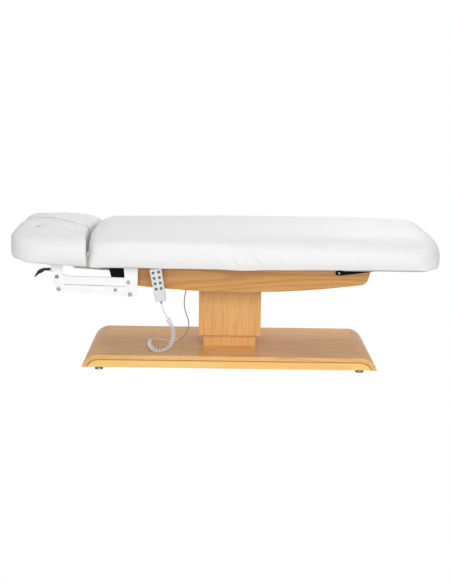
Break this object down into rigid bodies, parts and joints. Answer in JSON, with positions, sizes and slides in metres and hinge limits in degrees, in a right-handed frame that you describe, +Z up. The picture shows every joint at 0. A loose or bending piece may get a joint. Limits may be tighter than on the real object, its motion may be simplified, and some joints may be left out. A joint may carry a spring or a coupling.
{
  "type": "spa bed",
  "caption": "Electric spa bed: white padded mattress and headrest on an oak box, telescopic oak column and waterfall base, with raising back, leg rest and corded handset.",
  "frame": {"origin": "on the floor under the middle of the bed", "axes": "+X towards the foot end, +Y away from the handset side, +Z up"},
  "size_m": [2.04, 0.76, 0.703],
  "materials": {
    "oak": "oiled oak veneer",
    "oak_core": "oiled oak, edge grain",
    "plywood": "sanded plywood",
    "leatherette": "white grained leatherette over foam",
    "white_steel": "white powder coat",
    "black_steel": "black powder coat",
    "zinc": "zinc plated",
    "grey_steel": "grey lacquer",
    "handset_plastic": "fine moulded texture",
    "button_plastic": "soft matt",
    "black_plastic": "matt moulded",
    "cord_plastic": "smooth PVC",
    "foot_plastic": "moulded foot"
  },
  "bodies": {
    "base": {"base_board": "oak", "base_core": "oak_core", "inner_column": "oak", "lift_column_lower": "grey_steel", "lift_motor": "black_plastic"},
    "carriage": {"column_sleeve": "oak", "lift_column_upper": "grey_steel", "top_frame": "black_steel", "box_side_near": "oak", "box_side_far": "oak", "box_bottom": "plywood", "box_end_foot": "oak", "box_end_cap": "black_steel", "hinge_pins": "zinc", "control_box": "black_plastic", "seat_board": "plywood", "back_actuator": "black_plastic", "leg_actuator": "black_plastic", "mattress_seat": "leatherette", "mattress_fold_back": "leatherette", "mattress_fold_leg": "leatherette", "handset_front": "handset_plastic", "handset_back": "handset_plastic", "handset_hook": "white_steel", "cord_tail": "cord_plastic", "cord_curl": "cord_plastic", "cord_lead": "cord_plastic", "cord_gland": "black_plastic"},
    "back": {"back_board": "plywood", "back_frame": "black_steel", "mattress_back": "leatherette", "rear_brackets": "white_steel", "rear_pivot_bolts": "zinc"},
    "leg": {"leg_board": "plywood", "leg_crank": "black_steel", "leg_arms": "black_steel", "mattress_leg": "leatherette"},
    "back_rod": {"back_actuator_rod": "zinc"},
    "leg_rod": {"leg_actuator_rod": "zinc"},
    "head_lower": {"head_arms_lower": "white_steel"},
    "head_upper": {"head_arms_upper": "white_steel"},
    "head": {"head_frame": "white_steel", "head_board": "plywood", "head_pad": "leatherette", "front_pivot_bolts": "zinc"},
    "gas_cylinder": {"gas_spring_cylinder": "white_steel"},
    "gas_rod": {"gas_spring_rod": "zinc"},
    "lever": {"release_lever": "black_plastic"},
    "foot_1": {"levelling_foot_1": "foot_plastic"},
    "foot_2": {"levelling_foot_2": "foot_plastic"},
    "foot_3": {"levelling_foot_3": "foot_plastic"},
    "foot_4": {"levelling_foot_4": "foot_plastic"},
    "button_1": {"handset_button_1": "button_plastic"},
    "button_2": {"handset_button_2": "button_plastic"},
    "button_3": {"handset_button_3": "button_plastic"},
    "button_4": {"handset_button_4": "button_plastic"},
    "button_5": {"handset_button_5": "button_plastic"},
    "button_6": {"handset_button_6": "button_plastic"},
    "button_7": {"handset_button_7": "button_plastic"},
    "button_8": {"handset_button_8": "button_plastic"}
  },
  "joints": [
    {"name": "lift", "type": "slide", "parent": "base", "child": "carriage", "axis": [0, 0, 1], "range_m": [0, 0.25], "deforming": ["cord_curl", "cord_lead"]},
    {"name": "back_tilt", "type": "hinge", "parent": "carriage", "child": "back", "pos_m": [0.07, 0, 0.49], "axis": [0, 1, 0], "range_deg": [0, 65], "deforming": ["mattress_fold_back"]},
    {"name": "leg_tilt", "type": "hinge", "parent": "carriage", "child": "leg", "pos_m": [0.535, 0, 0.485], "axis": [0, -1, 0], "range_deg": [0, 35], "deforming": ["mattress_fold_leg"]},
    {"name": "back_rod_slide", "type": "slide", "parent": "carriage", "child": "back_rod", "axis": [-1, 0, 0], "range_m": [0, 0.07695]},
    {"name": "leg_rod_slide", "type": "slide", "parent": "carriage", "child": "leg_rod", "axis": [1, 0, 0], "range_m": [0, 0.03203]},
    {"name": "head_arm", "type": "hinge", "parent": "back", "child": "head_lower", "pos_m": [-0.452, 0, 0.375], "axis": [0, 1, 0], "range_deg": [-15, 8]},
    {"name": "head_arm_upper", "type": "hinge", "parent": "back", "child": "head_upper", "pos_m": [-0.46, 0, 0.433], "axis": [0, 1, 0], "range_deg": [-15, 8]},
    {"name": "head_level", "type": "hinge", "parent": "head_lower", "child": "head", "pos_m": [-0.788, 0, 0.397], "axis": [0, 1, 0], "range_deg": [-8, 15]},
    {"name": "gas_swing", "type": "hinge", "parent": "back", "child": "gas_cylinder", "pos_m": [-0.46, 0, 0.433], "axis": [0, 1, 0], "range_deg": [-15, 8]},
    {"name": "gas_stroke", "type": "slide", "parent": "gas_cylinder", "child": "gas_rod", "axis": [-0.994, 0, -0.1091], "range_m": [-0.0085, 0.0156]},
    {"name": "release", "type": "hinge", "parent": "head", "child": "lever", "pos_m": [-0.838, -0.2, 0.47], "axis": [0, 1, 0], "range_deg": [0, 12], "stiffness_Nm_per_rad": 2, "springref_deg": -8.59},
    {"name": "foot_1_screw", "type": "hinge", "parent": "base", "child": "foot_1", "pos_m": [-0.606, -0.268, 0], "axis": [0, 0, 1], "range_deg": [-360, 360]},
    {"name": "foot_2_screw", "type": "hinge", "parent": "base", "child": "foot_2", "pos_m": [-0.606, 0.268, 0], "axis": [0, 0, 1], "range_deg": [-360, 360]},
    {"name": "foot_3_screw", "type": "hinge", "parent": "base", "child": "foot_3", "pos_m": [0.65, -0.268, 0], "axis": [0, 0, 1], "range_deg": [-360, 360]},
    {"name": "foot_4_screw", "type": "hinge", "parent": "base", "child": "foot_4", "pos_m": [0.65, 0.268, 0], "axis": [0, 0, 1], "range_deg": [-360, 360]},
    {"name": "button_1_press", "type": "slide", "parent": "carriage", "child": "button_1", "axis": [0, 1, 0], "range_m": [0, 0.001], "stiffness_N_per_m": 500, "springref_m": -0.0005},
    {"name": "button_2_press", "type": "slide", "parent": "carriage", "child": "button_2", "axis": [0, 1, 0], "range_m": [0, 0.001], "stiffness_N_per_m": 500, "springref_m": -0.0005},
    {"name": "button_3_press", "type": "slide", "parent": "carriage", "child": "button_3", "axis": [0, 1, 0], "range_m": [0, 0.001], "stiffness_N_per_m": 500, "springref_m": -0.0005},
    {"name": "button_4_press", "type": "slide", "parent": "carriage", "child": "button_4", "axis": [0, 1, 0], "range_m": [0, 0.001], "stiffness_N_per_m": 500, "springref_m": -0.0005},
    {"name": "button_5_press", "type": "slide", "parent": "carriage", "child": "button_5", "axis": [0, 1, 0], "range_m": [0, 0.001], "stiffness_N_per_m": 500, "springref_m": -0.0005},
    {"name": "button_6_press", "type": "slide", "parent": "carriage", "child": "button_6", "axis": [0, 1, 0], "range_m": [0, 0.001], "stiffness_N_per_m": 500, "springref_m": -0.0005},
    {"name": "button_7_press", "type": "slide", "parent": "carriage", "child": "button_7", "axis": [0, 1, 0], "range_m": [0, 0.001], "stiffness_N_per_m": 500, "springref_m": -0.0005},
    {"name": "button_8_press", "type": "slide", "parent": "carriage", "child": "button_8", "axis": [0, 1, 0], "range_m": [0, 0.001], "stiffness_N_per_m": 500, "springref_m": -0.0005}
  ],
  "couplings": [
    {"joint": "back_rod_slide", "follows": "back_tilt", "m_per_rad": 0.067387},
    {"joint": "leg_rod_slide", "follows": "leg_tilt", "m_per_rad": 0.051615},
    {"joint": "head_arm_upper", "follows": "head_arm", "ratio": 1},
    {"joint": "head_level", "follows": "head_arm", "ratio": -1},
    {"joint": "gas_swing", "follows": "head_arm", "ratio": 0.993},
    {"joint": "gas_stroke", "follows": "head_arm", "m_per_rad": -0.0578}
  ]
}
